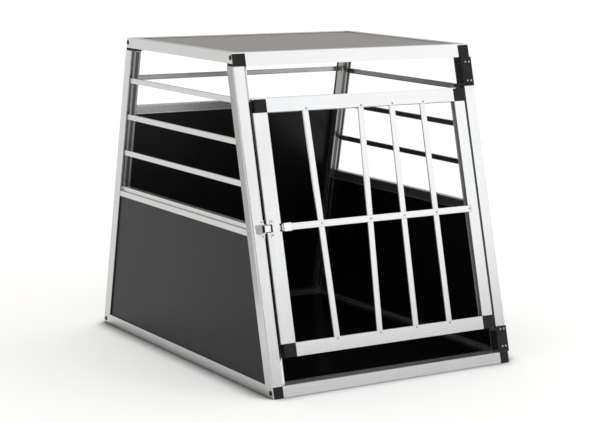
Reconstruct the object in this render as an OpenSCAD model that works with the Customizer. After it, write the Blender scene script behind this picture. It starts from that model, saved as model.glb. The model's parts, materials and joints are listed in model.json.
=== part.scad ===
// Kennel cage: a free-standing travel kennel with an aluminium profile frame, black
// composite panels, side bars and a hinged barred door in a front wall that leans back.
// The origin is on the floor at the middle of the footprint. +X is to the right as seen
// from the door, +Y goes to the back and +Z is up. All sizes are in millimetres.

/* [Frame] */
// Overall width of the cage
cage_w = 650; // [600:10:800]
// Overall depth of the cage on the floor
cage_d = 840; // [760:10:1000]
// Overall height of the cage
cage_h = 736; // [720:4:780]
// How far the top of the front wall leans back from its foot
front_lean = 190; // [150:5:210]
// How far the top of the back wall leans forward from its foot
back_lean = 138; // [60:2:160]
// Height of the rails on the floor
foot_rail_h = 25; // [24:1:27]
// Height of the side rails around the roof
roof_side_h = 24; // [22:1:25]
// Height of the front and back rails around the roof
roof_rail_h = 30; // [29:1:33]
// Width of a post, seen from the front
post_w = 27; // [26:1:29]
// Depth of a post, and of the front and back rails
post_d = 30; // [29:1:33]
// Width of the side rails, seen from the front
side_rail_w = 28; // [27:1:30]
// Wall thickness of the aluminium profiles
wall = 2; // [1.6:0.2:2.4]

/* [Walls] */
// Thickness of the wall, floor and roof panels
panel_t = 5; // [4:0.5:5.5]
// Height of the lower edge of the side mid rails
mid_rail_z = 340; // [320:5:350]
// Height of the side mid rails
mid_rail_h = 24; // [22:1:26]
// Height of the lower edge of the back mid rail
back_rail_z = 545; // [500:5:560]
// Height of the back mid rail
back_rail_h = 22; // [20:1:26]
// Height of the middle of the lowest side bar
first_bar_z = 451; // [430:1:455]
// Distance between two side bars
bar_pitch = 90.5; // [80:0.5:92]
// Height of a wall bar
bar_h = 13; // [10:1:15]
// Width of the ledge that the door closes against
stop_w = 13; // [10:1:14]

/* [Door] */
// Overall width of the door
door_w = 574; // [560:2:580]
// Height of the door's lower edge
door_z0 = 83; // [80:1:90]
// Height of the door's upper edge
door_z1 = 633; // [600:1:635]
// Width of the door frame's profile
door_frame = 30; // [27:1:31]
// Depth of the door frame's profile
door_d = 16; // [15:1:18]
// How far the door frame stands in front of the posts
door_proud = 7; // [5:0.5:8]
// Width of an upright door bar
door_bar_w = 15; // [12:1:18]
// How far the latch stile's front lip covers the gap beside the door
door_cover_lip = 7; // [4:0.5:8]
// Thickness of the door bars
door_bar_t = 4; // [3:0.5:4]
// Height of the middle of the crossbar and the latch
latch_z = 357; // [330:1:380]
// Height of the crossbar
crossbar_h = 15; // [14:1:20]

/* [Hinges and latch] */
// Radius of the two hinge pins
pin_r = 3; // [2.5:0.25:3]
// Running clearance between a hinge pin and its bore
pin_clearance = 0.06; // [0.03:0.01:0.1]
// Distance from the hinge axis to the door's side edge
pin_edge = 6; // [6:0.5:8]
// Height of the upper hinge bracket
bracket_h = 67; // [60:1:68]
// Thickness of the hinge brackets
bracket_t = 3; // [2.5:0.5:3]
// Gap between the bolt's tip and the keeper when the bolt is drawn
bolt_gap = 0.7; // [0.5:0.1:1.5]
// How far the bolt slides into the keeper
bolt_throw = 4.5; // [3:0.5:5]
// Height of the bolt's tongue
tongue_h = 14.4; // [12:0.2:15]

/* [Hidden] */
$fn = 32;

half_w = cage_w / 2;
cut = 1;
panel_play = 0.5;
groove_w = panel_t + 2 * panel_play;
groove_d = 10;
panel_in = 8;
flange = 3;
spigot = 12;
web_x = 14;
play = 0.3;
roof_z0 = cage_h - roof_rail_h;
roof_side_z0 = cage_h - roof_side_h;
roof_panel_z1 = cage_h - wall;
roof_panel_z0 = roof_panel_z1 - panel_t;
roof_ledge = 22;
floor_z0 = 14;
floor_z1 = floor_z0 + panel_t;
floor_in = 5;
foot_hollow_z1 = floor_z0 - play - wall;
corner_w = 26;
roof_corner_w = 33;
roof_cover_in = 3;
foot_cover_in = 1;
collar_reach = 15;
stop_in = 13;
stop_t = 3;
seal_t = 2;
stop_z1 = door_z1 - 1;
plug_r = 5.3;
plug_z = 11;
foot_plug_in = 13;
roof_plug_in = 6;
screw_r = 2.2;
back_bar_z = first_bar_z + 2 * bar_pitch + 4;
mid_rail_in = 1;
mid_rail_d = 21;
mid_slot = 8;

lean_angle = atan(front_lean / cage_h);
door_x = door_w / 2;
door_s0 = door_z0 / cos(lean_angle);
door_s1 = door_z1 / cos(lean_angle);
door_y0 = -door_proud;
door_y1 = door_d - door_proud;
door_skin = 3;
door_lip = 4;
lip_t = 2.5;
bar_y0 = door_y0 + door_skin + 0.2;
bar_y1 = bar_y0 + door_bar_t;
bar_in = 9;
crossbar_y0 = bar_y0 - door_bar_t;
latch_s = latch_z / cos(lean_angle);
bar_top_x = [-156, -6, 80, 167];
bar_bottom_x = [-146, -32, 68, 163];

pin_x = door_x - pin_edge;
pin_y = 2;
pin_depth = 15;
lug_t = 6;
lug_gap = 2.2;
upper_lug_s = door_s1 + door_lip + lug_gap;
lower_lug_s = door_s0 - lug_gap - lug_t;
bracket_wrap = 21;
post_inner = half_w - post_w;

slot_h = tongue_h + 3;
tip_x = -(post_inner + 1);
tongue_y0 = door_y0 + 0.4;
tongue_t = 4;
neck_h = 11;
cover_h = 40;

module alu() { color([0.80, 0.80, 0.79]) children(); }
module black_plastic() { color([0.13, 0.12, 0.12]) children(); }
module black_panel() { color([0.20, 0.20, 0.20]) children(); }
module chrome() { color([0.88, 0.88, 0.90]) children(); }

// The front and the back wall's outer face, front to back, at height z
function front_y(z) = -cage_d / 2 + front_lean * z / cage_h;
function back_y(z) = cage_d / 2 - back_lean * z / cage_h;
// Height of side bar number i, counted from the lowest
function side_bar_z(i) = first_bar_z + (i - 1) * bar_pitch;

// A solid between x0 and x1 whose side view is the given outline of [y, z] points
module side_view(x0, x1, outline) {
    translate([x0, 0, 0])
        rotate([90, 0, 90])
            linear_extrude(x1 - x0)
                polygon(outline);
}

// A block that follows the front wall, from in0 to in1 behind its outer face
module front_block(x0, x1, z0, z1, in0, in1) {
    side_view(x0, x1, [
        [front_y(z0) + in0, z0], [front_y(z0) + in1, z0],
        [front_y(z1) + in1, z1], [front_y(z1) + in0, z1]
    ]);
}

// A block that follows the back wall, from in0 to in1 in front of its outer face
module back_block(x0, x1, z0, z1, in0, in1) {
    side_view(x0, x1, [
        [back_y(z0) - in1, z0], [back_y(z0) - in0, z0],
        [back_y(z1) - in0, z1], [back_y(z1) - in1, z1]
    ]);
}

// A block along a side wall that starts and ends a set distance inside the two end walls
module side_block(x0, x1, z0, z1, end_in) {
    side_view(x0, x1, [
        [front_y(z0) + end_in, z0], [back_y(z0) - end_in, z0],
        [back_y(z1) - end_in, z1], [front_y(z1) + end_in, z1]
    ]);
}

// A front_block, or the same block on the back wall
module end_block(back, x0, x1, z0, z1, in0, in1) {
    if (back) back_block(x0, x1, z0, z1, in0, in1);
    else front_block(x0, x1, z0, z1, in0, in1);
}

// A plain box from corner a to corner b
module span(a, b) {
    translate(a) cube(b - a);
}

// Puts a shape in the front wall's own frame: y is 0 on its outer face, z runs up along it
module on_front() {
    translate([0, -cage_d / 2, 0])
        rotate([-lean_angle, 0, 0])
            children();
}

// Turns a left part into the right part
module right_hand() {
    mirror([1, 0, 0]) children();
}

// ---------- Rails on the floor ----------

module foot_side_rail() {
    x0 = -half_w;
    x1 = x0 + side_rail_w;
    alu() difference() {
        side_block(x0, x1, 0, foot_rail_h, foot_cover_in);
        side_block(x0 + flange, x1 - wall, wall, foot_hollow_z1, -cut);
        for (back = [false, true])
            end_block(back, x0 + wall, x1 + cut, -cut, foot_rail_h + cut, -cut, post_d);
        side_block(x0 + flange, x0 + flange + groove_w, foot_rail_h - 5, foot_rail_h + cut, -cut);
        side_block(x1 - 5, x1 + cut, floor_z0 - play, floor_z1 + play, -cut);
        corner_plug_bores(false);
    }
}

module foot_end_rail(back) {
    x = half_w - corner_w;
    alu() difference() {
        end_block(back, -x, x, 0, foot_rail_h, 0, post_d);
        end_block(back, -x - cut, x + cut, wall, foot_hollow_z1, wall, post_d - wall);
        end_block(back, -x - cut, x + cut, floor_z0 - play, floor_z1 + play, post_d - 7, post_d + cut);
        if (back)
            back_block(-x - cut, x + cut, foot_rail_h - 5, foot_rail_h + cut, flange, flange + groove_w);
    }
}

// ---------- Rails around the roof ----------

module roof_side_rail() {
    x0 = -half_w;
    x1 = x0 + side_rail_w;
    alu() difference() {
        union() {
            side_block(x0, x1, roof_side_z0, cage_h, roof_cover_in);
            side_block(x0, x1, cage_h - wall, cage_h, 0);
        }
        side_block(x0 + wall, x1 - wall, roof_side_z0 + wall, roof_panel_z0 - wall, -cut);
        for (back = [false, true])
            end_block(back, x0 + wall, x1 + cut, roof_side_z0 - cut, cage_h - wall, -cut, post_d);
        side_block(x0 + roof_ledge, x1 + cut, roof_panel_z0 - play, cage_h + cut, roof_ledge);
        corner_plug_bores(true);
    }
}

module roof_end_rail(back) {
    x = half_w - roof_corner_w;
    x_top = half_w - side_rail_w;
    alu() difference() {
        union() {
            end_block(back, -x, x, roof_z0, cage_h, 0, post_d);
            end_block(back, -x_top, x_top, cage_h - wall, cage_h, 0, post_d);
        }
        end_block(back, -x - cut, x + cut, roof_z0 + wall, roof_panel_z0 - wall, wall, post_d - wall);
        end_block(back, -half_w, half_w, roof_panel_z0 - play, cage_h + cut, roof_ledge, post_d + cut);
    }
}

// ---------- Posts ----------

module post(back, stop_z0, stop_top) {
    x0 = -half_w;
    x1 = x0 + post_w;
    z0 = foot_rail_h;
    z1 = roof_z0;
    alu() difference() {
        union() {
            end_block(back, x0, x1, z0, z1, 0, post_d);
            if (!back)
                front_block(x1 - wall, x1 + stop_w, stop_z0, stop_top, stop_in, stop_in + stop_t);
        }
        end_block(back, x0 + wall, x0 + web_x, z0 - cut, z1 + cut, wall, post_d - groove_d - wall);
        end_block(back, x0 + web_x + wall, x1 - wall, z0 - cut, z1 + cut,
                  back ? flange + groove_w + wall : wall, post_d - wall);
        end_block(back, x0 + flange, x0 + flange + groove_w, z0 - cut, z1 + cut,
                  post_d - groove_d, post_d + cut);
        if (back)
            back_block(x1 - groove_d, x1 + cut, z0 - cut, z1 + cut, flange, flange + groove_w);
    }
}

// ---------- Corner connectors ----------

// The stub that enters an end rail, the stub that enters a side rail and the one in the post
module foot_corner(back) {
    x0 = -half_w + wall;
    x1 = -half_w + corner_w;
    x_post_stub = -half_w + web_x - play;
    black_plastic() difference() {
        union() {
            end_block(back, x0, x1, 0, foot_rail_h, 0, post_d);
            end_block(back, x1 - cut, x1 + spigot, wall + play, foot_hollow_z1 - play,
                      flange, post_d - flange);
            end_block(back, x0 + flange, x1 - flange, wall + play, foot_hollow_z1 - play,
                      post_d - cut, post_d + spigot);
            end_block(back, x0 + play, x_post_stub, foot_rail_h - cut, foot_rail_h + spigot,
                      wall + play, post_d - groove_d - wall - play);
        }
        end_block(back, x0 + flange - wall, x0 + flange - wall + groove_w, foot_rail_h - 5,
                  foot_rail_h + cut, post_d - groove_d, post_d + spigot);
        if (back)
            back_block(x1 - groove_d, x1 + cut, foot_rail_h - 5, foot_rail_h + cut, flange,
                       flange + groove_w);
        corner_plug_bores(false);
    }
}

module roof_corner(back) {
    x0 = -half_w + wall;
    x1 = -half_w + roof_corner_w;
    x_collar = -half_w + roof_ledge;
    x_post_stub = -half_w + web_x - play;
    z1 = cage_h - wall;
    black_plastic() difference() {
        union() {
            end_block(back, x0, x1, roof_z0, z1, 0, post_d);
            if (back)
                back_block(x0, x_collar, roof_z0, roof_side_z0 - play, post_d - cut,
                           post_d + collar_reach);
            end_block(back, x1 - cut, x1 + spigot, roof_z0 + wall + play, roof_panel_z0 - wall - play,
                      flange, post_d - flange);
            end_block(back, x0 + play, x_collar, roof_side_z0 + wall + play,
                      roof_panel_z0 - wall - play, post_d - cut, post_d + spigot);
            end_block(back, x0 + play, x_post_stub, roof_z0 - spigot, roof_z0 + cut,
                      wall + play, post_d - groove_d - wall - play);
        }
        end_block(back, -half_w + roof_ledge, 0, roof_panel_z0 - play, cage_h, roof_ledge,
                  post_d + spigot);
        corner_plug_bores(true);
    }
}

// Centres of the two corner plugs at one level of the left side, as [y, z]
function plug_centres(roof) = roof
    ? [[front_y(cage_h) + roof_plug_in, cage_h - plug_z],
       [back_y(cage_h) - roof_plug_in, cage_h - plug_z]]
    : [[front_y(0) + foot_plug_in, plug_z], [back_y(0) - foot_plug_in, plug_z]];

module corner_plug_bores(roof) {
    for (c = plug_centres(roof))
        translate([-half_w - cut, c[0], c[1]])
            rotate([0, 90, 0])
                cylinder(r = plug_r + 0.2, h = cut + 4);
}

module corner_plug_set() {
    for (roof = [false, true], c = plug_centres(roof))
        translate([-half_w + 0.5, c[0], c[1]])
            rotate([0, 90, 0])
                cylinder(r = plug_r, h = 3.5);
}

module corner_plugs() {
    black_plastic() {
        corner_plug_set();
        right_hand() corner_plug_set();
    }
}

// ---------- Mid rails and bars ----------

module side_mid_rail() {
    x0 = -half_w + mid_rail_in;
    x_slot = -half_w + flange;
    x1 = -half_w + mid_rail_d;
    z_slot = mid_rail_z + mid_slot;
    z_step = z_slot + 5;
    z1 = mid_rail_z + mid_rail_h;
    alu() difference() {
        union() {
            side_block(x0, x1, mid_rail_z, z1, post_d);
            side_block(x_slot + play, x_slot + groove_w - play, mid_rail_z, z1, post_d - groove_d + 1);
        }
        side_block(x0 - cut, x0 + 5, z_step, z1 + cut, post_d);
        side_block(x_slot, x_slot + groove_w, mid_rail_z - cut, z_slot, 0);
        side_block(x0 + 5 + wall, x1 - wall, z_slot + wall, z1 - wall, post_d - cut);
    }
}

module side_bar(i) {
    x0 = -half_w + flange + play;
    z = side_bar_z(i);
    alu() side_block(x0, x0 + groove_w - 2 * play, z - bar_h / 2, z + bar_h / 2,
                     post_d - groove_d + 1);
}

module mid_rail_back() {
    x = post_inner;
    z1 = back_rail_z + back_rail_h;
    alu() difference() {
        union() {
            back_block(-x, x, back_rail_z, z1, mid_rail_in, mid_rail_d);
            back_block(-x - panel_in, x + panel_in, back_rail_z, z1,
                       flange + play, flange + groove_w - play);
        }
        back_block(-x - groove_d, x + groove_d, back_rail_z - cut, back_rail_z + mid_slot,
                   flange, flange + groove_w);
        back_block(-x - cut, x + cut, back_rail_z + mid_slot + wall, z1 - wall,
                   flange + groove_w + wall, mid_rail_d - wall);
    }
}

module back_bar() {
    x = post_inner + panel_in;
    alu() back_block(-x, x, back_bar_z - bar_h / 2, back_bar_z + bar_h / 2,
                     flange + play, flange + groove_w - play);
}

// ---------- Panels ----------

module side_panel() {
    x0 = -half_w + flange + panel_play;
    black_panel() side_block(x0, x0 + panel_t, foot_rail_h - 4.5, mid_rail_z + mid_slot - panel_play,
                             post_d - panel_in);
}

module back_panel() {
    x = post_inner + panel_in;
    black_panel() back_block(-x, x, foot_rail_h - 4.5, back_rail_z + mid_slot - panel_play,
                             flange + panel_play, flange + panel_play + panel_t);
}

module floor_panel() {
    x_wide = half_w - side_rail_w + 4.5;
    x_narrow = half_w - corner_w - play;
    black_panel() union() {
        side_block(-x_wide, x_wide, floor_z0, floor_z1, post_d + play);
        side_block(-x_narrow, x_narrow, floor_z0, floor_z1, post_d - floor_in);
    }
}

module roof_panel() {
    x = half_w - roof_ledge - play;
    color([0.46, 0.44, 0.43])
        side_block(-x, x, roof_panel_z0, roof_panel_z1, roof_ledge + 1);
}

// ---------- Fasteners of the frame ----------

// A screw along X through a post's outer flange, with its low head on the outer face
module outer_screw(y, z) {
    translate([-half_w - 0.6, y, z])
        rotate([0, 90, 0])
            cylinder(r = screw_r, h = 0.6);
}

// A screw head on the cabin side of a back post
module inner_screw(y, z) {
    translate([-post_inner, y, z])
        rotate([0, 90, 0])
            cylinder(r = screw_r + 0.6, h = 1.6);
}

// A screw head on the cabin side of a back bar or rail, which reaches in0 into the cabin
module back_screw(z, in0) {
    translate([-post_inner + 5, back_y(z) - in0 - 0.6, z])
        rotate([90, 0, 0])
            cylinder(r = screw_r + 0.3, h = 1.4);
}

module side_screw_set() {
    heights = [side_bar_z(1), side_bar_z(2), side_bar_z(3), mid_rail_z + 6];
    for (z = heights) {
        outer_screw(front_y(z) + post_d - 5, z);
        inner_screw(back_y(z) - post_d + 6, z);
    }
    back_screw(back_bar_z, flange + groove_w);
    for (z = [back_rail_z + 4, back_rail_z + back_rail_h - 4])
        back_screw(z, mid_rail_d);
    inner_screw(back_y(60) - 18, 60);
}

module keeper_screw_set() {
    on_front()
        for (side = [-1, 1])
            translate([-post_inner - 5, -wall, latch_s + 16 * side])
                rotate([90, 0, 0])
                    cylinder(r = screw_r, h = 1.2);
}

module frame_screws() {
    chrome() {
        side_screw_set();
        right_hand() side_screw_set();
        keeper_screw_set();
    }
}

// ---------- Door seals ----------

module door_seal() {
    x1 = -half_w + post_w + stop_w;
    front_block(x1 - stop_w + 1, x1 - 3, door_z0 + 5, stop_z1 - 4, stop_in - seal_t, stop_in);
}

module door_seals() {
    color([0.08, 0.08, 0.08]) {
        door_seal();
        right_hand() door_seal();
    }
}

// ---------- Hinges ----------

// A bracket that wraps the right post: a front plate, a side plate and a lug for the pin
module hinge_bracket(plate_s0, plate_s1, wrap_s0, wrap_s1, lug_s) {
    black_plastic() on_front() difference() {
        union() {
            span([post_inner - bracket_t, -bracket_t, plate_s0], [half_w, 0, plate_s1]);
            span([post_inner - bracket_t, -bracket_t, wrap_s0], [post_inner, bracket_wrap, wrap_s1]);
            span([pin_x - 7, -5, lug_s], [post_inner, 9, lug_s + lug_t]);
        }
        translate([pin_x, pin_y, lug_s - cut])
            cylinder(r = pin_r, h = lug_t + 2 * cut);
    }
}

module hinge_bracket_upper() {
    s1 = upper_lug_s + bracket_h;
    hinge_bracket(upper_lug_s, s1, upper_lug_s, s1, upper_lug_s);
}

// The lower bracket reaches from the foot corner to a little above the door's lower edge
module hinge_bracket_lower() {
    s0 = foot_rail_h / cos(lean_angle) + play;
    s1 = lower_lug_s + lug_t;
    hinge_bracket(s0, s1 + 3.5, s0 + 6, s1, lower_lug_s);
}

module hinge_rivets() {
    lower_s = [lower_lug_s - 38, lower_lug_s + 2];
    upper_s = [upper_lug_s + 12, upper_lug_s + bracket_h - 10];
    chrome() on_front()
        for (s = concat(lower_s, upper_s), x = [post_inner + 9, post_inner + 19])
            translate([x, -bracket_t, s])
                rotate([90, 0, 0])
                    cylinder(r = 2.7, h = 1.3);
}

module hinge_pins() {
    chrome() on_front() {
        translate([pin_x, pin_y, door_s1 - pin_depth])
            cylinder(r = pin_r, h = upper_lug_s + lug_t - door_s1 + pin_depth);
        translate([pin_x, pin_y, lower_lug_s])
            cylinder(r = pin_r, h = door_s0 + pin_depth - lower_lug_s);
    }
}

// ---------- Latch ----------

// A plate on the left post with a ramp, and a notch at its end that takes the tongue
module latch_keeper() {
    x0 = -half_w + 1;
    mouth = tip_x - bolt_gap;
    pocket_h = tongue_h + 1.6;
    wedge_h = 20;
    wedge_out = 11;
    pocket_d = 7.5;
    chrome() on_front() translate([0, 0, latch_s]) difference() {
        union() {
            span([x0, -wall, -cover_h / 2], [-post_inner, 0, cover_h / 2]);
            translate([0, 0, -wedge_h / 2])
                linear_extrude(wedge_h)
                    polygon([[x0 + 3, -wall + 0.5], [mouth - 4, -wedge_out], [mouth, -wedge_out],
                             [mouth, -wall + 0.5]]);
        }
        span([mouth - pocket_d, -wedge_out - cut, -pocket_h / 2], [mouth + cut, -wall, pocket_h / 2]);
    }
}

module latch_cover() {
    x0 = -door_x + 1;
    x1 = -door_x + 25;
    chrome() on_front() translate([0, 0, latch_s]) difference() {
        span([x0, door_y0 - 1, -cover_h / 2], [x1, door_y0, cover_h / 2]);
        span([x0 - cut, door_y0 - 2, -slot_h / 2], [x0 + 6, door_y0 + cut, slot_h / 2]);
    }
}

// The tongue, its neck through the stile and the grip that slides on the crossbar
module latch_bolt() {
    grip_x0 = -door_x + door_frame + bolt_throw + 0.7;
    grip_x1 = grip_x0 + 20;
    grip_h = crossbar_h / 2 + 0.5;
    grip_t = 1.2;
    grip_front = crossbar_y0 - 0.6;
    grip_back = bar_y0 + 0.6;
    neck_y0 = tongue_y0 + tongue_t;
    chrome() on_front() translate([0, 0, latch_s]) union() {
        span([tip_x, tongue_y0, -tongue_h / 2], [-door_x + 3, neck_y0, tongue_h / 2]);
        span([-door_x, neck_y0 - 0.5, -neck_h / 2], [grip_x1, neck_y0 + 4, neck_h / 2]);
        difference() {
            span([grip_x0, grip_front - grip_t, -grip_h - grip_t],
                 [grip_x1, grip_back + grip_t, grip_h + grip_t]);
            span([grip_x0 - cut, grip_front, -grip_h], [grip_x1 + cut, grip_back, grip_h]);
        }
    }
}

// ---------- Door ----------

// The left stile stands between two corners, and its groove opens towards the bars. The
// latched stile also has a lip that covers most of the gap between the door and the post
module door_stile(latched) {
    x0 = -door_x;
    x1 = x0 + door_frame;
    s0 = door_s0 + door_frame;
    s1 = door_s1 - door_frame;
    alu() on_front() difference() {
        union() {
            span([x0, door_y0, s0], [x1, door_y1, s1]);
            if (latched)
                span([x0 - door_cover_lip, door_y0, s0], [x0 + cut, door_y0 + lip_t, s1]);
        }
        span([x0 + wall, door_y0 + wall, s0 - cut], [x1 - 12, door_y1 - wall, s1 + cut]);
        span([x1 - 10, door_y0 + door_skin, s0 - cut], [x1 + cut, door_y1 - door_skin, s1 + cut]);
        translate([0, 0, latch_s])
            if (latched)
                span([x0 - door_cover_lip - cut, door_y0 - cut, -slot_h / 2],
                     [x1 + cut, 3, slot_h / 2]);
            else
                span([x1 - 8, door_y0 - cut, -crossbar_h / 2 - play],
                     [x1 + cut, bar_y0, crossbar_h / 2 + play]);
    }
}

// The lower rail lies between two corners, and its groove opens upwards
module door_rail() {
    x = door_x - door_frame;
    s1 = door_s0 + door_frame;
    difference() {
        span([-x, door_y0, door_s0], [x, door_y1, s1]);
        span([-x - cut, door_y0 + wall, door_s0 + wall], [x + cut, door_y1 - wall, s1 - 12]);
        span([-x - cut, door_y0 + door_skin, s1 - 10], [x + cut, door_y1 - door_skin, s1 + cut]);
    }
}

module door_rail_lower() {
    alu() on_front() door_rail();
}

// The upper rail also has a low lip along its rear edge, which runs over the corners
module door_rail_upper() {
    alu() on_front() union() {
        translate([0, 0, door_s0 + door_s1])
            mirror([0, 0, 1])
                door_rail();
        span([-door_x + 2, door_y1 - door_skin, door_s1 - 0.5 + play],
             [door_x - 2, door_y1, door_s1 + door_lip]);
    }
}

// A corner block of the door, with a stub into the stile and a stub into the rail
module door_corner(upper, bored) {
    x0 = -door_x;
    x1 = x0 + door_frame;
    s0 = door_s0;
    s1 = s0 + door_frame;
    black_plastic() on_front()
        translate([0, 0, upper ? door_s0 + door_s1 : 0])
            mirror([0, 0, upper ? 1 : 0])
                difference() {
                    union() {
                        span([x0, door_y0 + 0.4, s0], [x1, door_y1 - 0.4, s1]);
                        span([x0 + wall + play, door_y0 + wall + play, s1 - cut],
                             [x1 - 12 - play, door_y1 - wall - play, s1 + spigot]);
                        span([x1 - cut, door_y0 + wall + play, s0 + wall + play],
                             [x1 + spigot, door_y1 - wall - play, s1 - 12 - play]);
                    }
                    if (bored)
                        translate([-pin_x, pin_y, s0 - cut])
                            cylinder(r = pin_r + pin_clearance, h = pin_depth + cut + 0.5);
                    if (upper)
                        span([x0 - cut, door_y1 - door_skin - play, s0 - cut],
                             [x1 + play, door_y1, s0 + play]);
                }
}

// An upright flat bar between the lower and the upper rail, which may lean to one side
module door_bar(i) {
    s0 = door_s0 + door_frame - bar_in;
    s1 = door_s1 - door_frame + bar_in;
    w = door_bar_w / 2;
    xb = bar_bottom_x[i - 1];
    xt = bar_top_x[i - 1];
    alu() on_front()
        translate([0, bar_y1, 0])
            rotate([90, 0, 0])
                linear_extrude(door_bar_t)
                    polygon([[xb - w, s0], [xb + w, s0], [xt + w, s1], [xt - w, s1]]);
}

module door_crossbar() {
    x0 = -door_x + door_frame + 1.5;
    x1 = door_x - door_frame + 7;
    alu() on_front()
        span([x0, crossbar_y0, latch_s - crossbar_h / 2], [x1, bar_y0, latch_s + crossbar_h / 2]);
}

// Centre of bar i's rivet at a given share of its height, as [x, s]
function bar_point(i, s) =
    let (share = (s - door_s0) / (door_s1 - door_s0))
    [bar_bottom_x[i] + (bar_top_x[i] - bar_bottom_x[i]) * share, s];

module door_rivet(c, y, r) {
    translate([c[0], y, c[1]])
        rotate([90, 0, 0])
            cylinder(r = r, h = 1.2);
}

module door_rivets() {
    rivet_r = 2.4;
    chrome() on_front() {
        for (i = [0:3]) {
            door_rivet(bar_point(i, door_s0 + door_frame - 4), door_y0, rivet_r);
            door_rivet(bar_point(i, latch_s), crossbar_y0, rivet_r);
            door_rivet(bar_point(i, door_s1 - door_frame + 4), door_y0, rivet_r);
        }
        door_rivet([door_x - door_frame + 3.5, latch_s], crossbar_y0, rivet_r);
        for (side = [-1, 1])
            door_rivet([-door_x + 6, latch_s + 15 * side], door_y0 - 1, screw_r);
    }
}

foot_side_rail();  // rail_foot_left
right_hand() foot_side_rail();  // rail_foot_right
foot_end_rail(false);  // rail_foot_front
foot_end_rail(true);  // rail_foot_back
roof_side_rail();  // rail_roof_left
right_hand() roof_side_rail();  // rail_roof_right
roof_end_rail(false);  // rail_roof_front
roof_end_rail(true);  // rail_roof_back
post(false, foot_rail_h, roof_z0);  // post_front_left
right_hand() post(false, door_z0 + 5, stop_z1);  // post_front_right
post(true, 0, 0);  // post_back_left
right_hand() post(true, 0, 0);  // post_back_right
foot_corner(false);  // corner_foot_front_left
right_hand() foot_corner(false);  // corner_foot_front_right
foot_corner(true);  // corner_foot_back_left
right_hand() foot_corner(true);  // corner_foot_back_right
roof_corner(false);  // corner_roof_front_left
right_hand() roof_corner(false);  // corner_roof_front_right
roof_corner(true);  // corner_roof_back_left
right_hand() roof_corner(true);  // corner_roof_back_right
side_mid_rail();  // mid_rail_left
right_hand() side_mid_rail();  // mid_rail_right
mid_rail_back();
side_bar(1);  // side_bar_left_1
side_bar(2);  // side_bar_left_2
side_bar(3);  // side_bar_left_3
right_hand() side_bar(1);  // side_bar_right_1
right_hand() side_bar(2);  // side_bar_right_2
right_hand() side_bar(3);  // side_bar_right_3
back_bar();
side_panel();  // side_panel_left
right_hand() side_panel();  // side_panel_right
back_panel();
floor_panel();
roof_panel();
corner_plugs();
frame_screws();
door_seals();
hinge_bracket_upper();
hinge_bracket_lower();
hinge_rivets();
hinge_pins();
latch_keeper();
door_rail_upper();
door_rail_lower();
door_stile(true);  // door_stile_left
right_hand() door_stile(false);  // door_stile_right
door_corner(true, false);  // door_corner_upper_left
right_hand() door_corner(true, true);  // door_corner_upper_right
door_corner(false, false);  // door_corner_lower_left
right_hand() door_corner(false, true);  // door_corner_lower_right
door_bar(1);  // door_bar_1
door_bar(2);  // door_bar_2
door_bar(3);  // door_bar_3
door_bar(4);  // door_bar_4
door_crossbar();
door_rivets();
latch_cover();
latch_bolt();
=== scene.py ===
"""Looks of a kennel cage: satin aluminium profiles, moulded corner pieces, dark laminate panels."""
import json
import math

import bmesh
import bpy
from mathutils import Matrix, Vector


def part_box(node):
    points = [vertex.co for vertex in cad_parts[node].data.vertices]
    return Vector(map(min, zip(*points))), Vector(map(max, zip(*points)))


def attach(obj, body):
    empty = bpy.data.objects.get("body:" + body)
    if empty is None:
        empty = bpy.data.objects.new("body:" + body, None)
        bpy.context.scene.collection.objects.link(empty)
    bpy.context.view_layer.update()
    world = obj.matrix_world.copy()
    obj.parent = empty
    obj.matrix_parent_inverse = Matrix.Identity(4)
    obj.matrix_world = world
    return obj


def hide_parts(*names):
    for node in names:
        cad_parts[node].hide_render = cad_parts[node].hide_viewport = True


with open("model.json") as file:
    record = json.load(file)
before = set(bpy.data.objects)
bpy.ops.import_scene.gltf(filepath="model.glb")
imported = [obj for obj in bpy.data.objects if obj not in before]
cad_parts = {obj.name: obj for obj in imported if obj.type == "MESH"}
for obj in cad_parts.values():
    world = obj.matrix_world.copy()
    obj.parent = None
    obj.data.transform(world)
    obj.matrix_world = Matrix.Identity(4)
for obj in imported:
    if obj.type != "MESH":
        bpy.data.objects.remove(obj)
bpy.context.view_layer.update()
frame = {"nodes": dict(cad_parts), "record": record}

MM = 0.001
SHARP = math.radians(25)
FACING = 0.9            # share of a normal that counts as facing a way
TOUCHING = 0.1          # mm within which a point counts as lying on a face

# ---------- The cage's own lines, read from the frame, in millimetres ----------


def low(node):
    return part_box(node)[0] / MM


def high(node):
    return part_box(node)[1] / MM


HALF_W = -low("rail_foot_left").x
FOOT_FRONT = low("rail_foot_front").y
FOOT_BACK = high("rail_foot_back").y
FRONT_SLOPE = (low("rail_roof_front").y - FOOT_FRONT) / low("rail_roof_front").z
BACK_SLOPE = (FOOT_BACK - high("rail_roof_back").y) / low("rail_roof_back").z
LEAN = math.atan(FRONT_SLOPE)
BACK_LEAN = math.atan(BACK_SLOPE)
# The front wall's own frame: x to the right, y into the cage, z up along the slope
ON_FRONT = Matrix.Translation((0, FOOT_FRONT, 0)) @ Matrix.Rotation(-LEAN, 4, "X")
ON_FRONT_BACK = ON_FRONT.inverted()
FRONT_OUT = Vector((0, -math.cos(LEAN), math.sin(LEAN)))
BACK_OUT = Vector((0, math.cos(BACK_LEAN), math.sin(BACK_LEAN)))


# ---------- Making a piece ----------


def merged_copy(node):
    """The CAD node's shape in millimetres, with its triangles merged into whole faces."""
    bm = bmesh.new()
    bm.from_mesh(frame["nodes"][node].data)
    bmesh.ops.scale(bm, vec=(1 / MM,) * 3, verts=bm.verts)
    bmesh.ops.remove_doubles(bm, verts=bm.verts, dist=0.01)
    bmesh.ops.dissolve_limit(bm, angle_limit=math.radians(1), verts=bm.verts, edges=bm.edges)
    return bm


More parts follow.
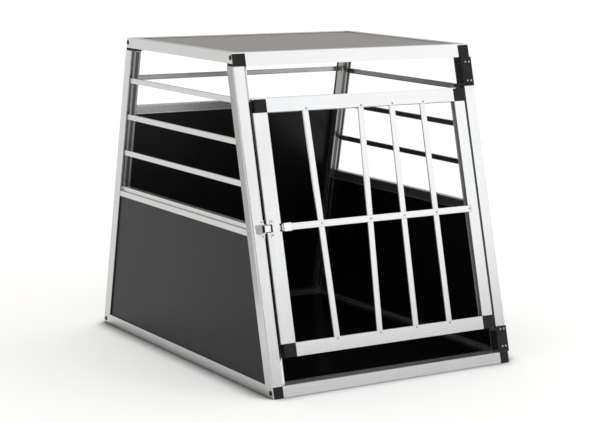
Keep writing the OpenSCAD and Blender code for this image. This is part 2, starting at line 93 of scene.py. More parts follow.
def soften(bm, radius, segments=2, choose=None):
    """Rounds the sharp edges and marks the rounded faces, where the finish wears first."""
    edge_layer = bm.faces.layers.float.get("edge") or bm.faces.layers.float.new("edge")
    sharp = [e for e in bm.edges if e.is_manifold and e.calc_face_angle(0) > SHARP]
    if choose:
        sharp = [e for e in sharp if choose(e)]
    done = bmesh.ops.bevel(
        bm, geom=sharp, offset=radius, offset_type="OFFSET", segments=segments,
        profile=0.5, affect="EDGES", clamp_overlap=True, material=-1,
    )
    for face in done["faces"]:
        face[edge_layer] = 1
    return bm


def finish_piece(bm, name, material, body, slot, *nodes):
    """Turns a bmesh in millimetres into a piece that rides on its body and stands for CAD nodes."""
    bmesh.ops.scale(bm, vec=(MM,) * 3, verts=bm.verts)
    mesh = bpy.data.meshes.new(name)
    bm.to_mesh(mesh)
    bm.free()
    mesh.materials.append(material)
    mesh.shade_smooth()
    mesh.set_sharp_from_angle(angle=math.radians(50))
    piece = bpy.data.objects.new(name, mesh)
    bpy.context.scene.collection.objects.link(piece)
    even = piece.modifiers.new("even_normals", "WEIGHTED_NORMAL")
    even.keep_sharp = True
    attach(piece, body)
    if nodes:
        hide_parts(*nodes)
    return piece


# ---------- Shared shader groups ----------


def new_group(name, inputs, outputs):
    """An empty node group with (kind, name, default) inputs and (kind, name) outputs."""
    tree = bpy.data.node_groups.new(name, "ShaderNodeTree")
    for kind, label, default in inputs:
        socket = tree.interface.new_socket(label, in_out="INPUT", socket_type=kind)
        if default is not None:
            socket.default_value = default
    for kind, label in outputs:
        tree.interface.new_socket(label, in_out="OUTPUT", socket_type=kind)
    return tree, tree.nodes.new("NodeGroupInput"), tree.nodes.new("NodeGroupOutput")


def add_math(tree, operation, a, b):
    node = tree.nodes.new("ShaderNodeMath")
    node.operation = operation
    for socket, value in zip(node.inputs, (a, b)):
        if isinstance(value, bpy.types.NodeSocket):
            tree.links.new(value, socket)
        else:
            socket.default_value = value
    return node.outputs[0]


def add_noise(tree, vector, scale, detail=3.0, roughness=0.5):
    node = tree.nodes.new("ShaderNodeTexNoise")
    node.inputs["Detail"].default_value = detail
    node.inputs["Roughness"].default_value = roughness
    tree.links.new(vector, node.inputs["Vector"])
    if isinstance(scale, bpy.types.NodeSocket):
        tree.links.new(scale, node.inputs["Scale"])
    else:
        node.inputs["Scale"].default_value = scale
    return node.outputs["Fac"]


def add_spread(tree, value, low_in, high_in, low_out, high_out):
    """Maps value from one range to another, held at the ends."""
    node = tree.nodes.new("ShaderNodeMapRange")
    for label, given in (
        ("Value", value), ("From Min", low_in), ("From Max", high_in),
        ("To Min", low_out), ("To Max", high_out),
    ):
        if isinstance(given, bpy.types.NodeSocket):
            tree.links.new(given, node.inputs[label])
        else:
            node.inputs[label].default_value = given
    return node.outputs["Result"]


def make_draw_lines():
    """Lines that the press leaves along an extrusion; the run is the vector's own Z."""
    tree, given, out = new_group(
        "draw_lines",
        [("NodeSocketVector", "Vector", None), ("NodeSocketFloat", "Width", 1.0)],
        [("NodeSocketFloat", "Fine"), ("NodeSocketFloat", "Broad")],
    )
    for label, across, along in (("Fine", 1400.0, 6.0), ("Broad", 240.0, 2.2)):
        stretch = tree.nodes.new("ShaderNodeVectorMath")
        stretch.operation = "MULTIPLY"
        stretch.inputs[1].default_value = (across, across, along)
        tree.links.new(given.outputs["Vector"], stretch.inputs[0])
        noise = add_noise(tree, stretch.outputs[0], given.outputs["Width"], 2.0)
        tree.links.new(add_spread(tree, noise, 0.3, 0.7, 0.0, 1.0), out.inputs[label])
    return tree


def make_edge_wear():
    """A mask of rubbed spots on the rounded edges."""
    tree, given, out = new_group(
        "edge_wear",
        [
            ("NodeSocketVector", "Vector", None),
            ("NodeSocketFloat", "Amount", 0.5),
            ("NodeSocketFloat", "Scale", 60.0),
        ],
        [("NodeSocketFloat", "Mask")],
    )
    edge = tree.nodes.new("ShaderNodeAttribute")
    edge.attribute_name = "edge"
    patches = add_noise(tree, given.outputs["Vector"], given.outputs["Scale"], 4.0, 0.65)
    rubbed = add_spread(tree, patches, 0.42, 0.62, 0.0, 1.0)
    mask = add_math(tree, "MULTIPLY", edge.outputs["Fac"], rubbed)
    tree.links.new(add_math(tree, "MULTIPLY", mask, given.outputs["Amount"]), out.inputs["Mask"])
    return tree


def make_cloudiness():
    """Slow, even variation of a finish: handling marks and anodising clouds."""
    tree, given, out = new_group(
        "cloudiness",
        [("NodeSocketVector", "Vector", None), ("NodeSocketFloat", "Scale", 6.0)],
        [("NodeSocketFloat", "Value")],
    )
    wide = add_noise(tree, given.outputs["Vector"], given.outputs["Scale"], 3.0)
    close_scale = add_math(tree, "MULTIPLY", given.outputs["Scale"], 6.0)
    close = add_noise(tree, given.outputs["Vector"], close_scale, 4.0, 0.6)
    wide_share = add_math(tree, "MULTIPLY", wide, 0.65)
    close_share = add_math(tree, "MULTIPLY", close, 0.35)
    both = add_math(tree, "ADD", wide_share, close_share)
    tree.links.new(add_spread(tree, both, 0.35, 0.65, 0.0, 1.0), out.inputs["Value"])
    return tree


def make_moulded_grain():
    """The fine pebbled skin of moulded plastic and pressed laminate."""
    tree, given, out = new_group(
        "moulded_grain",
        [("NodeSocketVector", "Vector", None), ("NodeSocketFloat", "Scale", 900.0)],
        [("NodeSocketFloat", "Height")],
    )
    cells = tree.nodes.new("ShaderNodeTexVoronoi")
    cells.feature = "SMOOTH_F1"
    tree.links.new(given.outputs["Vector"], cells.inputs["Vector"])
    tree.links.new(given.outputs["Scale"], cells.inputs["Scale"])
    fine = add_noise(tree, given.outputs["Vector"], given.outputs["Scale"], 2.0)
    height = add_math(tree, "ADD", cells.outputs["Distance"], add_math(tree, "MULTIPLY", fine, 0.6))
    tree.links.new(height, out.inputs["Height"])
    return tree


def make_dust():
    """Fine dust that settles on faces that look up."""
    tree, given, out = new_group(
        "settled_dust",
        [("NodeSocketVector", "Vector", None), ("NodeSocketFloat", "Amount", 0.2)],
        [("NodeSocketFloat", "Mask")],
    )
    normal = tree.nodes.new("ShaderNodeNewGeometry").outputs["Normal"]
    parts = tree.nodes.new("ShaderNodeSeparateXYZ")
    tree.links.new(normal, parts.inputs[0])
    up = add_spread(tree, parts.outputs["Z"], 0.5, 1.0, 0.0, 1.0)
    specks = add_noise(tree, given.outputs["Vector"], 420.0, 5.0, 0.7)
    drifts = add_noise(tree, given.outputs["Vector"], 9.0, 3.0)
    cover = add_math(tree, "MULTIPLY", add_spread(tree, specks, 0.45, 0.7, 0.3, 1.0), drifts)
    mask = add_math(tree, "MULTIPLY", add_math(tree, "MULTIPLY", up, cover), given.outputs["Amount"])
    tree.links.new(mask, out.inputs["Mask"])
    return tree


DRAW_LINES = make_draw_lines()
EDGE_WEAR = make_edge_wear()
CLOUDINESS = make_cloudiness()
MOULDED_GRAIN = make_moulded_grain()
DUST = make_dust()


# ---------- Materials ----------


def new_material(name):
    """A material with its shader, and the piece's own coordinates to pattern it by."""
    material = bpy.data.materials.new(name)
    material.use_nodes = True
    tree = material.node_tree
    shader = tree.nodes["Principled BSDF"]
    place = tree.nodes.new("ShaderNodeTexCoord").outputs["Object"]
    return material, tree, shader, place


def use_group(tree, group, vector, **values):
    node = tree.nodes.new("ShaderNodeGroup")
    node.node_tree = group
    tree.links.new(vector, node.inputs["Vector"])
    for label, value in values.items():
        node.inputs[label].default_value = value
    return node


def mix_colours(tree, share, a, b):
    node = tree.nodes.new("ShaderNodeMix")
    node.data_type = "RGBA"
    for socket, value in ((node.inputs[0], share), (node.inputs[6], a), (node.inputs[7], b)):
        if isinstance(value, bpy.types.NodeSocket):
            tree.links.new(value, socket)
        else:
            socket.default_value = value
    return node.outputs[2]


def add_bump(tree, shader, height, strength, distance):
    node = tree.nodes.new("ShaderNodeBump")
    node.inputs["Strength"].default_value = strength
    node.inputs["Distance"].default_value = distance
    tree.links.new(height, node.inputs["Height"])
    tree.links.new(node.outputs["Normal"], shader.inputs["Normal"])


def grey(value, warmth=0.0):
    return (value * (1 + warmth), value, value * (1 - warmth), 1)


def make_aluminium(name, turn):
    """Satin anodised extrusion. turn brings the run of the profile onto Z."""
    material, tree, shader, place = new_material(name)
    mapping = tree.nodes.new("ShaderNodeMapping")
    mapping.inputs["Rotation"].default_value = turn
    tree.links.new(place, mapping.inputs["Vector"])
    run = mapping.outputs["Vector"]
    lines = use_group(tree, DRAW_LINES, run, Width=1.0)
    clouds = use_group(tree, CLOUDINESS, place, Scale=7.0).outputs["Value"]
    wear = use_group(tree, EDGE_WEAR, place, Amount=0.5, Scale=70.0).outputs["Mask"]
    dust = use_group(tree, DUST, place, Amount=0.5).outputs["Mask"]
    satin = mix_colours(tree, lines.outputs["Broad"], grey(0.605, 0.004), grey(0.635, 0.0))
    clouded = mix_colours(tree, clouds, satin, grey(0.62, 0.01))
    rubbed = mix_colours(tree, wear, clouded, grey(0.86))
    # Painted shade: faces marked in the recess attribute are painted dark grey. These are the channel
    # floors and walls, and the back posts' faces that look into the cage.
    recess = tree.nodes.new("ShaderNodeAttribute")
    recess.attribute_name = "recess"
    recess_shaded = mix_colours(tree, recess.outputs["Fac"], rubbed, grey(0.07, 0.06))
    tree.links.new(mix_colours(tree, dust, recess_shaded, grey(0.5, 0.03)), shader.inputs["Base Color"])
    tree.links.new(add_spread(tree, dust, 0.0, 1.0, 0.8, 0.1), shader.inputs["Metallic"])
    rough = add_spread(tree, lines.outputs["Fine"], 0.0, 1.0, 0.2, 0.26)
    rough = add_math(tree, "ADD", rough, add_math(tree, "MULTIPLY", clouds, 0.03))
    rough = add_math(tree, "SUBTRACT", rough, add_math(tree, "MULTIPLY", wear, 0.08))
    tree.links.new(rough, shader.inputs["Roughness"])
    add_bump(tree, shader, lines.outputs["Fine"], 0.06, 0.0001)
    return material


def make_moulded(name, colour, rough_low, rough_high, grain_scale, grain_depth, gloss):
    """Black moulded plastic with a pebbled skin and greyed edges."""
    material, tree, shader, place = new_material(name)
    shader.inputs["Specular IOR Level"].default_value = gloss
    grain = use_group(tree, MOULDED_GRAIN, place, Scale=grain_scale).outputs["Height"]
    clouds = use_group(tree, CLOUDINESS, place, Scale=25.0).outputs["Value"]
    wear = use_group(tree, EDGE_WEAR, place, Amount=0.5, Scale=120.0).outputs["Mask"]
    dust = use_group(tree, DUST, place, Amount=0.3).outputs["Mask"]
    base = mix_colours(tree, clouds, grey(colour, 0.06), grey(colour * 1.35, 0.06))
    rubbed = mix_colours(tree, wear, base, grey(0.03, 0.03))
    tree.links.new(mix_colours(tree, dust, rubbed, grey(0.12, 0.05)), shader.inputs["Base Color"])
    tree.links.new(add_spread(tree, clouds, 0.0, 1.0, rough_low, rough_high), shader.inputs["Roughness"])
    add_bump(tree, shader, grain, 0.35, grain_depth)
    return material


def make_laminate(name, colour, rough_low, rough_high, dust_amount, gloss):
    """Phenolic laminate of the panels: a dark, hard sheet with a fine pressed texture."""
    material, tree, shader, place = new_material(name)
    shader.inputs["Specular IOR Level"].default_value = gloss
    grain = use_group(tree, MOULDED_GRAIN, place, Scale=650.0).outputs["Height"]
    clouds = use_group(tree, CLOUDINESS, place, Scale=3.0).outputs["Value"]
    wear = use_group(tree, EDGE_WEAR, place, Amount=0.3, Scale=80.0).outputs["Mask"]
    dust = use_group(tree, DUST, place, Amount=dust_amount).outputs["Mask"]
    base = mix_colours(tree, clouds, colour, tuple(c * 1.25 for c in colour[:3]) + (1,))
    rubbed = mix_colours(tree, wear, base, grey(0.08, 0.04))
    tree.links.new(mix_colours(tree, dust, rubbed, grey(0.2, 0.05)), shader.inputs["Base Color"])
    tree.links.new(add_spread(tree, clouds, 0.0, 1.0, rough_low, rough_high), shader.inputs["Roughness"])
    add_bump(tree, shader, grain, 0.25, 0.00008)
    return material


def make_bright_metal(name, colour, rough_low, rough_high):
    """Satin plated, zinc-plated or blackened metal, with painted shade in its recesses."""
    material, tree, shader, place = new_material(name)
    recess = tree.nodes.new("ShaderNodeAttribute")
    recess.attribute_name = "recess"
    clouds = use_group(tree, CLOUDINESS, place, Scale=60.0).outputs["Value"]
    wear = use_group(tree, EDGE_WEAR, place, Amount=0.4, Scale=200.0).outputs["Mask"]
    base = mix_colours(tree, clouds, grey(colour), grey(colour * 0.9, 0.01))
    rubbed = mix_colours(tree, wear, base, grey(0.95))
    # Painted shade: recess faces are painted near black and made less metallic.
    hollow_shaded = mix_colours(tree, recess.outputs["Fac"], rubbed, grey(0.012, 0.1))
    tree.links.new(hollow_shaded, shader.inputs["Base Color"])
    metallic = add_spread(tree, recess.outputs["Fac"], 0.0, 1.0, 1.0, 0.2)
    tree.links.new(metallic, shader.inputs["Metallic"])
    rough = add_spread(tree, clouds, 0.0, 1.0, rough_low, rough_high)
    tree.links.new(rough, shader.inputs["Roughness"])
    scratches = add_noise(tree, place, 2600.0, 3.0)
    add_bump(tree, shader, scratches, 0.05, 0.0001)
    return material


QUARTER = math.pi / 2
ALUMINIUM = {
    "across": make_aluminium("aluminium_across", (0, -QUARTER, 0)),
    "along": make_aluminium("aluminium_along", (QUARTER, 0, 0)),
    "front": make_aluminium("aluminium_front", (LEAN, 0, 0)),
    "back": make_aluminium("aluminium_back", (-BACK_LEAN, 0, 0)),
}
PLASTIC = make_moulded("moulded_black", 0.012, 0.50, 0.62, 1100.0, 0.00012, 0.2)
WALL_LAMINATE = make_laminate("wall_laminate", (0.0055, 0.0053, 0.005, 1), 0.26, 0.33, 0.05, 0.2)
FLOOR_LAMINATE = make_laminate("floor_laminate", (0.003, 0.003, 0.003, 1), 0.12, 0.18, 0.05, 0.3)
ROOF_LAMINATE = make_laminate("roof_laminate", (0.135, 0.123, 0.116, 1), 0.26, 0.32, 0.2, 0.8)
RUBBER = make_moulded("seal_rubber", 0.006, 0.8, 0.9, 1600.0, 0.00008, 0.1)
CHROME = make_bright_metal("latch_chrome", 0.66, 0.22, 0.32)
ZINC = make_bright_metal("zinc_steel", 0.74, 0.22, 0.34)
BLACK_STEEL = make_bright_metal("blackened_steel", 0.08, 0.38, 0.48)

# ---------- Pieces ----------

RUNS = {
    "across": ["rail_foot_front", "rail_foot_back", "rail_roof_front", "rail_roof_back",
               "mid_rail_back", "back_bar", "door_rail_upper", "door_rail_lower", "door_crossbar"],
    "along": ["rail_foot_left", "rail_foot_right", "rail_roof_left", "rail_roof_right",
              "mid_rail_left", "mid_rail_right"]
             + [f"side_bar_{side}_{i}" for side in ("left", "right") for i in (1, 2, 3)],
    "front": ["post_front_left", "post_front_right", "door_stile_left", "door_stile_right"]
             + [f"door_bar_{i}" for i in (1, 2, 3, 4)],
    "back": ["post_back_left", "post_back_right"],
}
BODY_OF = {n: body for body, names in frame["record"]["behaviour"]["bodies"].items() for n in names}


def on_front(point):
    """A point's place in the front wall's own frame."""
    return ON_FRONT_BACK @ point


def edge_between(edge, test):
    return all(test(v.co) for v in edge.verts)


def recess_layer(bm):
    """How much painted shade each face takes, from 0 to 1."""
    return bm.faces.layers.float.get("recess") or bm.faces.layers.float.new("recess")


def largest_face(bm, looks_there):
    return max((f for f in bm.faces if looks_there(f.normal)), key=lambda f: f.calc_area())


def add_channel(bm, face, lip, depth, painted_shade):
    """Sinks a channel into a bar's inner side, with a lip around it, and paints shade into the channel.
    """
    wall_lean = 0.05
    bmesh.ops.inset_individual(bm, faces=[face], thickness=lip, depth=0)
    walls = bmesh.ops.inset_individual(bm, faces=[face], thickness=wall_lean, depth=-depth)
    for sunk in walls["faces"] + [face]:
        sunk[recess_layer(bm)] = painted_shade


def work_inner_side(bm, node):
    """The channels in bars, rails and back posts, and painted shade on the back posts' faces that look
    into the cage.
    """
    side = math.copysign(1, low(node).x)

    def inward(normal):
        return normal.x * side < -FACING

    def forward(normal):
        return normal.y < -FACING

    def off_the_back(normal):
        return normal.dot(BACK_OUT) < -FACING

    if node.startswith("side_bar"):
        add_channel(bm, largest_face(bm, inward), lip=2.0, depth=2.6, painted_shade=0.8)
    if node in ("rail_roof_left", "rail_roof_right"):
        add_channel(bm, largest_face(bm, inward), lip=2.6, depth=1.4, painted_shade=0.8)
    if node in ("mid_rail_left", "mid_rail_right"):
        add_channel(bm, largest_face(bm, inward), lip=4.0, depth=1.3, painted_shade=0.6)
    if node == "back_bar":
        add_channel(bm, largest_face(bm, forward), lip=2.6, depth=1.2, painted_shade=0.3)
    if node == "mid_rail_back":
        add_channel(bm, largest_face(bm, forward), lip=4.5, depth=1.2, painted_shade=0.3)
    if node.startswith("post_back"):
        # Painted shade on the back posts' faces that look into the cage.
        inner_face_shade = 0.5
        for face in bm.faces:
            if inward(face.normal) or off_the_back(face.normal):
                face[recess_layer(bm)] = inner_face_shade
        add_channel(bm, largest_face(bm, off_the_back), lip=7.0, depth=1.0, painted_shade=0.95)


def round_long_edges(bm, node):
    """Asks for a fuller round on the long outer edges of front posts, foot rails and door stiles."""
    if node.startswith("post_front"):
        outer = HALF_W - 0.5
        soften(bm, 1.6, 4, lambda e: edge_between(
            e, lambda p: abs(p.x) > outer and on_front(p).y < TOUCHING))
    if node.startswith("rail_foot"):
        long = 300
        soften(bm, 0.9, 4, lambda e: e.calc_length() > long and edge_between(
            e, lambda p: p.z < TOUCHING))
    if node.startswith("door_stile"):
        front = min(on_front(v.co).y for v in bm.verts) + TOUCHING
        outer = max(abs(v.co.x) for v in bm.verts) - TOUCHING
        soften(bm, 1.2, 4, lambda e: edge_between(
            e, lambda p: abs(p.x) > outer and on_front(p).y < front))


def make_profiles():
    """Extruded rails, posts and bars."""
    for run, nodes in RUNS.items():
        for node in nodes:
            bm = merged_copy(node)
            recess_layer(bm)
            work_inner_side(bm, node)
            round_long_edges(bm, node)
            soften(bm, 0.6, 2)
            finish_piece(bm, node + "_profile", ALUMINIUM[run], BODY_OF[node], "aluminium", node)


def make_panels():
    for material, slot, nodes in (
        (WALL_LAMINATE, "wall_panel", ["side_panel_left", "side_panel_right", "back_panel"]),
        (FLOOR_LAMINATE, "floor_panel", ["floor_panel"]),
        (ROOF_LAMINATE, "roof_panel", ["roof_panel"]),
    ):
        for node in nodes:
            bm = soften(merged_copy(node), 0.4, 2)
            finish_piece(bm, node + "_sheet", material, BODY_OF[node], slot, node)


def make_corners():
    """Moulded connectors of the frame and the door."""
    for node in BODY_OF:
        if "corner_" in node and node != "corner_plugs":
            bm = soften(merged_copy(node), 0.8, 3)
            finish_piece(bm, node + "_moulding", PLASTIC, BODY_OF[node], "black_plastic", node)


def close_up_to_corner(bm):
    """Brings the upper bracket's top edge up to the corner block above it."""
    corner = merged_copy("corner_roof_front_right")
    places = [on_front(v.co) for v in corner.verts]
    seat = min(p.z for p in places if p.y < TOUCHING)
    corner.free()
    top = max(on_front(v.co).z for v in bm.verts)
    gap = 0.3
    rise = ON_FRONT.to_3x3() @ Vector((0, 0, seat - gap - top))
    bmesh.ops.translate(bm, vec=rise, verts=[v for v in bm.verts if on_front(v.co).z > top - TOUCHING])


def make_brackets():
    """Hinge brackets, with a fuller bend where the front plate turns around the post."""
    for node in ("hinge_bracket_upper", "hinge_bracket_lower"):
        bm = merged_copy(node)
        if node == "hinge_bracket_upper":
            close_up_to_corner(bm)
        bend_x = low("post_front_right").x
        bend_reach = 8
        soften(bm, 1.5, 4, lambda e: edge_between(
            e, lambda p: bend_x - bend_reach < p.x < bend_x and on_front(p).y < TOUCHING))
        soften(bm, 0.5, 2)
        finish_piece(bm, node + "_plate", PLASTIC, BODY_OF[node], "black_plastic", node)


def make_seals():
    bm = soften(merged_copy("door_seals"), 0.6, 3)
    finish_piece(bm, "door_seals_strip", RUBBER, BODY_OF["door_seals"], "rubber", "door_seals")


def make_pins():
    bm = soften(merged_copy("hinge_pins"), 0.6, 3)
    finish_piece(bm, "hinge_pins_round", BLACK_STEEL, BODY_OF["hinge_pins"], "steel", "hinge_pins")


def mark_notch(bm, recess):
    """Parts the keeper's face along its notch and paints shade into the notch."""
    bm.transform(ON_FRONT_BACK)
    wall = largest_face(bm, lambda n: n.x > FACING)
    left = wall.verts[0].co.x
    bottom = min(v.co.z for v in wall.verts)
    top = max(v.co.z for v in wall.verts)
    plate_front = max(v.co.y for v in wall.verts)
    for point, normal in (
        ((left, 0, 0), (1, 0, 0)), ((0, 0, bottom), (0, 0, 1)), ((0, 0, top), (0, 0, 1)),
    ):
        everything = bm.verts[:] + bm.edges[:] + bm.faces[:]
        bmesh.ops.bisect_plane(bm, geom=everything, dist=0.001, plane_co=point, plane_no=normal)
    # Painted shade: the notch faces are marked for the dark recess colour.
    for face in bm.faces:
        middle = face.calc_center_median()
        across = middle.x > left - TOUCHING
        up = bottom - TOUCHING < middle.z < top + TOUCHING
        if across and up and middle.y < plate_front + TOUCHING:
            face[recess] = 1
    bm.transform(ON_FRONT)


def make_latch():
    """The keeper with painted shade in its notch, the cover plate and the sliding bolt."""
    for node in ("latch_keeper", "latch_cover", "latch_bolt"):
        bm = merged_copy(node)
        recess = recess_layer(bm)
        if node == "latch_keeper":
            mark_notch(bm, recess)
        soften(bm, 0.25, 2)
        finish_piece(bm, node + "_plated", CHROME, BODY_OF[node], "chrome", node)


# ---------- Fasteners ----------


def loose_shapes(node):
    """Middle, axis, radius and length of each small cylinder in a CAD node."""
    bm = merged_copy(node)
    left = set(bm.verts)
    found = []
    while left:
        island = {left.pop()}
        edge_of = set(island)
        while edge_of:
            near = {e.other_vert(v) for v in edge_of for e in v.link_edges} - island
            island |= near
            edge_of = near
        left -= island
        caps = sorted({f for v in island for f in v.link_faces}, key=lambda f: -len(f.verts))[:2]
        ends = [cap.calc_center_median() for cap in caps]
        radius = (next(iter(caps[0].verts)).co - ends[0]).length
        found.append(((ends[0] + ends[1]) / 2, (ends[1] - ends[0]).normalized(), radius,
                      (ends[1] - ends[0]).length))
    bm.free()
    return sorted(found, key=lambda item: tuple(round(c, 2) for c in item[0]))


def lathe(bm, outline, steps, place):
    """Spins (radius, height) points around Z and puts the result in place."""
    verts = [bm.verts.new((r, 0, z)) for r, z in outline]
    edges = [bm.edges.new(pair) for pair in zip(verts, verts[1:])]
    bmesh.ops.spin(
        bm, geom=verts + edges, cent=(0, 0, 0), axis=(0, 0, 1), dvec=(0, 0, 0),
        angle=math.tau, steps=steps, use_merge=True, use_duplicate=False,
    )
    new = {v for e in edges if e.is_valid for v in e.verts}
    grown = set(new)
    while grown:
        grown = {e.other_vert(v) for v in grown for e in v.link_edges} - new
        new |= grown
    bmesh.ops.remove_doubles(bm, verts=list(new), dist=0.001)
    kept = [v for v in new if v.is_valid]
    faces = list({f for v in kept for f in v.link_faces})
    bmesh.ops.recalc_face_normals(bm, faces=faces)
    bmesh.ops.transform(bm, matrix=place, verts=kept)
    return faces


def facing(middle, axis, outward):
    """A matrix that puts Z along the fastener's axis, on the side that faces outward."""
    if axis.dot(outward) < 0:
        axis = -axis
    place = axis.to_track_quat("Z", "Y").to_matrix().to_4x4()
    place.translation = middle
    return place


def rivet_outline(radius, height):
    """A pop rivet: a domed flange around a sunk hole with the broken stem in it."""
    pit = radius * 0.42
    return [
        (0, 0.25 * height), (pit * 0.5, 0.22 * height), (pit * 0.6, 0.06 * height),
        (pit, 0.06 * height), (pit * 1.08, 0.92 * height), (radius * 0.62, height),
        (radius * 0.84, height * 0.8), (radius, height * 0.3), (radius, 0),
    ]


def set_down(bm, place):
    """Moves the head just made, which is still untagged, from the origin to its place."""
    bmesh.ops.transform(bm, matrix=place, verts=[v for v in bm.verts if not v.tag])
    for v in bm.verts:
        v.tag = True


def add_rivet(bm, place, radius, height):
    """A rivet with painted shade in its hole and around its flange."""
    hole = radius * 0.46
    shaded_rim = radius * 0.82
    recess = bm.faces.layers.float["recess"]
    for face in lathe(bm, rivet_outline(radius, height), 20, Matrix()):
        middle = face.calc_center_median()
        spread = math.hypot(middle.x, middle.y)
        # Painted shade in the hole and on the rim where the flange meets the surface.
        if spread < hole and middle.z < height * 0.6 or spread > shaded_rim:
            face[recess] = 1
    set_down(bm, place)


def add_screw(bm, place, radius, height):
    """A pan head with a cross recess, with painted shade in the recess and around its rim."""
    hub = radius * 0.28
    arm_reach = radius * 0.68
    arm_half_turn = 10
    shaded_rim = radius * 0.88
    recess = bm.faces.layers.float["recess"]
    outline = [
        (0, height), (hub, height), (arm_reach, height * 0.95),
        (radius * 0.86, height * 0.75), (radius, height * 0.3), (radius, 0),
    ]
    faces = lathe(bm, outline, 24, Matrix())
    arms = []
    for face in faces:
        middle = face.calc_center_median()
        spread = math.hypot(middle.x, middle.y)
        turn = math.degrees(math.atan2(middle.y, middle.x)) % 90
        if spread < hub or spread < arm_reach and min(turn, 90 - turn) < arm_half_turn:
            arms.append(face)
        # Painted shade on the rim here. The cross recess below is painted with shade too.
        if spread > shaded_rim:
            face[recess] = 1
    grown = bmesh.ops.extrude_face_region(bm, geom=arms)
    bmesh.ops.delete(bm, geom=[f for f in arms if f.is_valid], context="FACES_ONLY")
    sunk = [item for item in grown["geom"] if isinstance(item, bmesh.types.BMVert)]
    bmesh.ops.translate(bm, vec=(0, 0, -height * 0.55), verts=sunk)
    for v in sunk:
        for face in v.link_faces:
            face[recess] = 1
    set_down(bm, place)


def outward_of(node, middle, axis):
    """Which way a fastener's head looks."""
    side = math.copysign(1, middle.x)
    front_wall_reach = 120
    if node in ("door_rivets", "hinge_rivets"):
        return FRONT_OUT
    if abs(middle.x) > HALF_W - 1:
        return Vector((side, 0, 0))
    if abs(axis.x) > FACING:
        return Vector((-side, 0, 0))
    if on_front(middle).y < 0 or middle.y < FOOT_FRONT + front_wall_reach:
        return FRONT_OUT
    return -BACK_OUT


def make_fasteners():
    """Rivets and screws; the smaller heads among the door's rivets are the cover plate's screws."""
    screw_radius = 2.3
    for node, add_head in (
        ("door_rivets", add_rivet), ("hinge_rivets", add_rivet), ("frame_screws", add_screw),
    ):
        bm = bmesh.new()
        recess_layer(bm)
        for middle, axis, radius, length in loose_shapes(node):
            place = facing(middle, axis, outward_of(node, middle, axis))
            place.translation = middle - place.to_3x3() @ Vector((0, 0, length / 2))
            head = add_screw if node == "door_rivets" and radius < screw_radius else add_head
            head(bm, place, radius, length)
        finish_piece(bm, node + "_heads", ZINC, BODY_OF[node], "steel", node)


def make_plugs():
    """Round caps over the bores of the side rails, each dished around a low middle."""
    bm = bmesh.new()
    bm.faces.layers.float.new("edge")
    for middle, axis, radius, length in loose_shapes("corner_plugs"):
        outward = Vector((math.copysign(1, middle.x), 0, 0))
        place = facing(middle, axis, outward)
        base = -length / 2
        cap = HALF_W - abs(middle.x)
        lathe(bm, [
            (0, cap - 0.5), (radius * 0.5, cap - 0.4), (radius * 0.7, cap + 0.25),
            (radius + 0.5, cap + 0.3), (radius + 0.7, cap + 0.05), (radius - 0.1, cap - 0.1),
            (radius - 0.2, base), (0, base),
        ], 32, place)
    finish_piece(bm, "corner_plugs_caps", PLASTIC, BODY_OF["corner_plugs"], "black_plastic",
                 "corner_plugs")


make_profiles()
make_panels()
make_corners()
make_brackets()
make_seals()
make_pins()
make_latch()
make_fasteners()
make_plugs()

# ---------- Studio ----------


def make_floor():
    """A wide pale floor that glows a little, more so far off, with a painted contact shadow: close under
    the cage it is painted dark and glows less.
    """
    bm = bmesh.new()
    bmesh.ops.create_grid(bm, x_segments=1, y_segments=1, size=40)
    mesh = bpy.data.meshes.new("studio_floor")
    bm.to_mesh(mesh)
    bm.free()
    floor = bpy.data.objects.new("studio_floor", mesh)
    bpy.context.scene.collection.objects.link(floor)
    material, tree, shader, place = new_material("studio_floor_paint")
    mottle = add_noise(tree, place, 3.0)
    shade = mix_colours(tree, mottle, grey(0.85), grey(0.86))
    # Painted contact shadow: where the cage is close, the floor is painted nearly black and its glow is
    # turned down.
    nook = tree.nodes.new("ShaderNodeAmbientOcclusion")
    nook.inputs["Distance"].default_value = 0.07
    nook.samples = 8
    open_share = add_spread(tree, nook.outputs["AO"], 0.5, 0.9, 0.0, 1.0)
    tree.links.new(mix_colours(tree, open_share, grey(0.06), shade), shader.inputs["Base Color"])
    reach = tree.nodes.new("ShaderNodeVectorMath")
    reach.operation = "LENGTH"
    tree.links.new(place, reach.inputs[0])
    glow = add_spread(tree, reach.outputs["Value"], 1.0, 6.0, 0.36, 0.56)
    shader.inputs["Roughness"].default_value = 0.8
    shader.inputs["Specular IOR Level"].default_value = 0.1
    shader.inputs["Emission Color"].default_value = (1, 1, 1, 1)
    tree.links.new(add_math(tree, "MULTIPLY", glow, open_share), shader.inputs["Emission Strength"])
    mesh.materials.append(material)


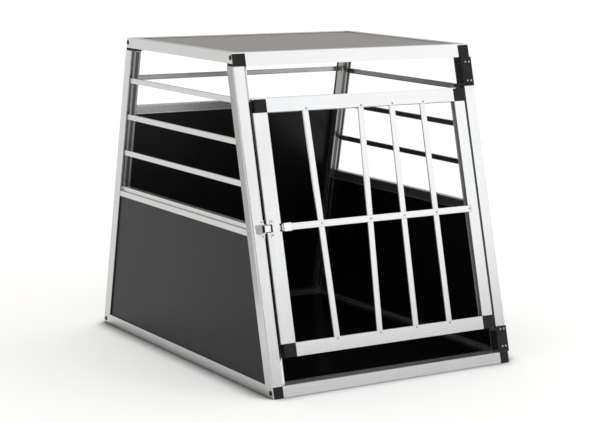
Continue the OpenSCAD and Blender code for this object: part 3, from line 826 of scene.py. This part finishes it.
def make_world():
    """An even warm-white surround, plain white where the camera sees it."""
    world = bpy.data.worlds.new("studio")
    bpy.context.scene.world = world
    world.use_nodes = True
    tree = world.node_tree
    light = tree.nodes["Background"]
    light.inputs["Color"].default_value = (1.0, 0.985, 0.965, 1)
    light.inputs["Strength"].default_value = 0.58
    seen = tree.nodes.new("ShaderNodeBackground")
    seen.inputs["Color"].default_value = (1, 1, 1, 1)
    path = tree.nodes.new("ShaderNodeLightPath")
    mix = tree.nodes.new("ShaderNodeMixShader")
    tree.links.new(path.outputs["Is Camera Ray"], mix.inputs[0])
    tree.links.new(light.outputs[0], mix.inputs[1])
    tree.links.new(seen.outputs[0], mix.inputs[2])
    tree.links.new(mix.outputs[0], tree.nodes["World Output"].inputs["Surface"])


def add_soft_box(name, at, towards, width, height, radiance, colour=(1, 1, 1)):
    """An area light of a given brightness; watts follow from its size."""
    light = bpy.data.lights.new(name, "AREA")
    light.shape = "RECTANGLE"
    light.size = width
    light.size_y = height
    light.energy = radiance * math.pi * width * height
    light.color = colour
    box = bpy.data.objects.new(name, light)
    box.location = at
    box.rotation_euler = (Vector(towards) - Vector(at)).to_track_quat("-Z", "Y").to_euler()
    bpy.context.scene.collection.objects.link(box)


def make_lights():
    """A large soft box in front, to the right of the door, and a wide one overhead."""
    middle = Vector((0, 0, 0.4))
    add_soft_box("front_soft_box", middle + Vector((0.62, -0.74, 0.36)) * 4.6, middle, 3.2, 2.4, 1.22,
                 (0.915, 0.96, 1))
    add_soft_box("top_soft_box", (0.4, 0.6, 4.2), middle, 4.0, 4.0, 0.9)


def make_camera():
    """Stands to the left of the door, a little above the roof."""
    data = bpy.data.cameras.new("camera")
    data.sensor_width = 36
    data.lens = 104.3982
    data.shift_x = 0.0092333
    data.shift_y = -0.0634167
    yaw, pitch, roll = math.radians(31.997), math.radians(-8.488), math.radians(0.583)
    ahead = Vector((math.sin(yaw) * math.cos(pitch), math.cos(yaw) * math.cos(pitch), math.sin(pitch)))
    level = Vector((math.cos(yaw), -math.sin(yaw), 0))
    upright = level.cross(ahead)
    right = level * math.cos(roll) + upright * math.sin(roll)
    up = upright * math.cos(roll) - level * math.sin(roll)
    camera = bpy.data.objects.new("camera", data)
    place = Matrix((right, up, -ahead)).transposed().to_4x4()
    place.translation = Vector((-2.22214, -3.53118, 1.03973))
    camera.matrix_world = place
    bpy.context.scene.collection.objects.link(camera)
    bpy.context.scene.camera = camera


make_floor()
make_world()
make_lights()
make_camera()
bpy.context.scene.view_settings.view_transform = "Standard"
